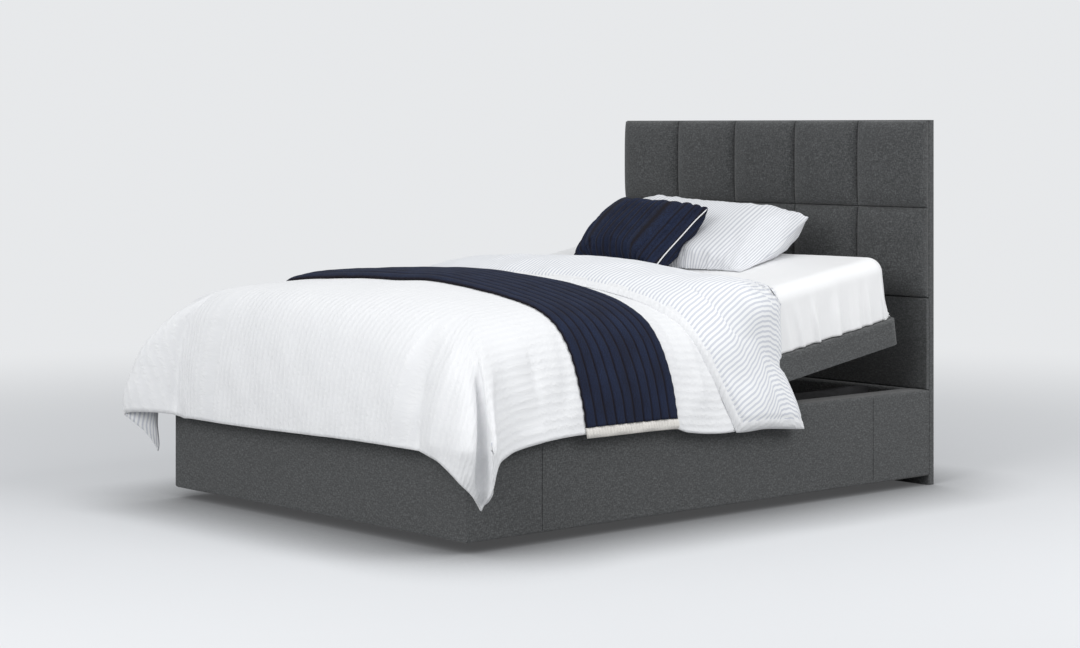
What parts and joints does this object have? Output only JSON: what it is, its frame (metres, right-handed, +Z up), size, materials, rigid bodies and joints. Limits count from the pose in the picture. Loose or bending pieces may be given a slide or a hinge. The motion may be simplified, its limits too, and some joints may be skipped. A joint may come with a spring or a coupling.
{
  "type": "adjustable bed",
  "caption": "Upholstered adjustable divan bed with a tiled headboard, raised back and leg sections on a hidden twin drive, dressed with duvet, throw, pillow and cushion.",
  "frame": {"origin": "on the floor, at the middle of the whole dressed bed's footprint", "axes": "+X across the bed to the sleeper's right as they lie on their back, +Y from foot to headboard, +Z up"},
  "size_m": [1.5541, 2.017, 1.147],
  "materials": {
    "upholstery": "matte",
    "bare_wood": "satin",
    "dark_board": "satin",
    "dust_cloth": "matte",
    "black_plastic": "matte",
    "motor_shell": "satin",
    "gland_rubber": "matte",
    "zinc_steel": "satin",
    "bright_steel": "satin",
    "frame_paint": "satin",
    "mattress_ticking": "matte",
    "white_sheet": "matte",
    "duvet_white": "matte",
    "duvet_stripe": "matte",
    "throw_navy": "matte",
    "pillow_stripe": "matte",
    "cushion_navy": "matte"
  },
  "bodies": {
    "root": {"side_panel_left": "upholstery", "side_panel_right": "upholstery", "foot_panel": "upholstery", "head_panel": "upholstery", "corner_blocks": "bare_wood", "cross_rails": "bare_wood", "inner_rails": "dark_board", "dust_cover": "dust_cloth", "glide_feet": "black_plastic", "headboard_board": "upholstery", "headboard_lower_panel": "upholstery", "headboard_tiles": "upholstery", "headboard_bolts": "zinc_steel", "seat_core": "bare_wood", "seat_cover": "upholstery", "support_brackets": "zinc_steel", "seat_hinge_leaves": "zinc_steel", "seat_hinge_pins": "bright_steel", "shaft_bearings": "black_plastic", "drive_housing": "black_plastic", "drive_motors": "motor_shell", "control_box": "black_plastic", "cable_gland": "gland_rubber", "mattress_seat": "mattress_ticking", "duvet_middle": "duvet_white", "bed_throw": "throw_navy"},
    "back": {"back_core": "bare_wood", "back_cover": "upholstery", "back_hinge_leaves": "zinc_steel", "back_brackets": "frame_paint", "mattress_back": "mattress_ticking", "fitted_sheet": "white_sheet", "duvet_head": "duvet_stripe", "pillow": "pillow_stripe", "pleated_cushion": "cushion_navy"},
    "back_lift": {"back_lift_shaft": "frame_paint", "back_lift_arms": "frame_paint"},
    "back_link": {"back_links": "frame_paint"},
    "back_pusher": {"back_pusher": "zinc_steel"},
    "back_screw": {"back_screw": "bright_steel"},
    "thigh": {"thigh_core": "bare_wood", "thigh_cover": "upholstery", "thigh_hinge_leaves": "zinc_steel", "thigh_brackets": "frame_paint", "knee_hinge_pins": "bright_steel", "mattress_thigh": "mattress_ticking", "duvet_thigh": "duvet_white"},
    "calf": {"calf_core": "bare_wood", "calf_cover": "upholstery", "calf_hinge_leaves": "zinc_steel", "calf_brackets": "frame_paint", "mattress_calf": "mattress_ticking", "duvet_foot": "duvet_white"},
    "leg_lift": {"leg_lift_shaft": "frame_paint", "leg_lift_arms": "frame_paint"},
    "leg_link": {"leg_links": "frame_paint"},
    "leg_pusher": {"leg_pusher": "zinc_steel"},
    "leg_screw": {"leg_screw": "bright_steel"},
    "calf_link": {"calf_links": "frame_paint"}
  },
  "joints": [
    {"name": "back_tilt", "type": "hinge", "parent": "root", "child": "back", "pos_m": [0, -0.10845, 0.3735], "axis": [1, 0, 0], "range_deg": [-9.2, 50.8], "deforming": ["duvet_middle"]},
    {"name": "leg_tilt", "type": "hinge", "parent": "root", "child": "thigh", "pos_m": [0, -0.30845, 0.3735], "axis": [-1, 0, 0], "range_deg": [0, 30], "deforming": ["bed_throw"]},
    {"name": "knee_bend", "type": "hinge", "parent": "thigh", "child": "calf", "pos_m": [0, -0.58845, 0.3075], "axis": [-1, 0, 0], "range_deg": [-30.5, 0.5]},
    {"name": "back_shaft_turn", "type": "hinge", "parent": "root", "child": "back_lift", "pos_m": [0, 0.01155, 0.1935], "axis": [1, 0, 0], "range_deg": [-9.7, 51.3]},
    {"name": "back_link_swing", "type": "hinge", "parent": "back_lift", "child": "back_link", "pos_m": [0, 0.42239, 0.15874], "axis": [1, 0, 0], "range_deg": [-51.3, 9.7]},
    {"name": "back_push", "type": "slide", "parent": "root", "child": "back_pusher", "axis": [0, 1, 0], "range_m": [-0.0102, 0.0518]},
    {"name": "back_screw_spin", "type": "hinge", "parent": "root", "child": "back_screw", "pos_m": [0, -0.91845, 0.1125], "axis": [0, 1, 0], "range_deg": [-336.2, 1833.8]},
    {"name": "leg_shaft_turn", "type": "hinge", "parent": "root", "child": "leg_lift", "pos_m": [0, -0.42845, 0.1935], "axis": [-1, 0, 0], "range_deg": [-0.5, 30.5]},
    {"name": "leg_link_swing", "type": "hinge", "parent": "leg_lift", "child": "leg_link", "pos_m": [0, -0.62845, 0.0935], "axis": [-1, 0, 0], "range_deg": [-30.5, 0.5]},
    {"name": "leg_push", "type": "slide", "parent": "root", "child": "leg_pusher", "axis": [0, -1, 0], "range_m": [-0.001, 0.03206]},
    {"name": "leg_screw_spin", "type": "hinge", "parent": "root", "child": "leg_screw", "pos_m": [0, -0.91845, 0.1125], "axis": [0, 1, 0], "range_deg": [-5, 1123.1]},
    {"name": "calf_link_swing", "type": "hinge", "parent": "root", "child": "calf_link", "pos_m": [0, -0.30845, 0.2835], "axis": [-1, 0, 0], "range_deg": [-0.5, 30.5]}
  ],
  "couplings": [
    {"joint": "back_shaft_turn", "follows": "back_tilt", "ratio": 1},
    {"joint": "back_link_swing", "follows": "back_tilt", "ratio": -1},
    {"joint": "back_push", "follows": "back_tilt", "m_per_rad": 0.057296},
    {"joint": "back_screw_spin", "follows": "back_tilt", "ratio": 36},
    {"joint": "knee_bend", "follows": "leg_tilt", "ratio": -1},
    {"joint": "leg_shaft_turn", "follows": "leg_tilt", "ratio": 1},
    {"joint": "leg_link_swing", "follows": "leg_tilt", "ratio": -1},
    {"joint": "leg_push", "follows": "leg_tilt", "m_per_rad": 0.059317},
    {"joint": "leg_screw_spin", "follows": "leg_tilt", "ratio": 37.27},
    {"joint": "calf_link_swing", "follows": "leg_tilt", "ratio": 1}
  ]
}
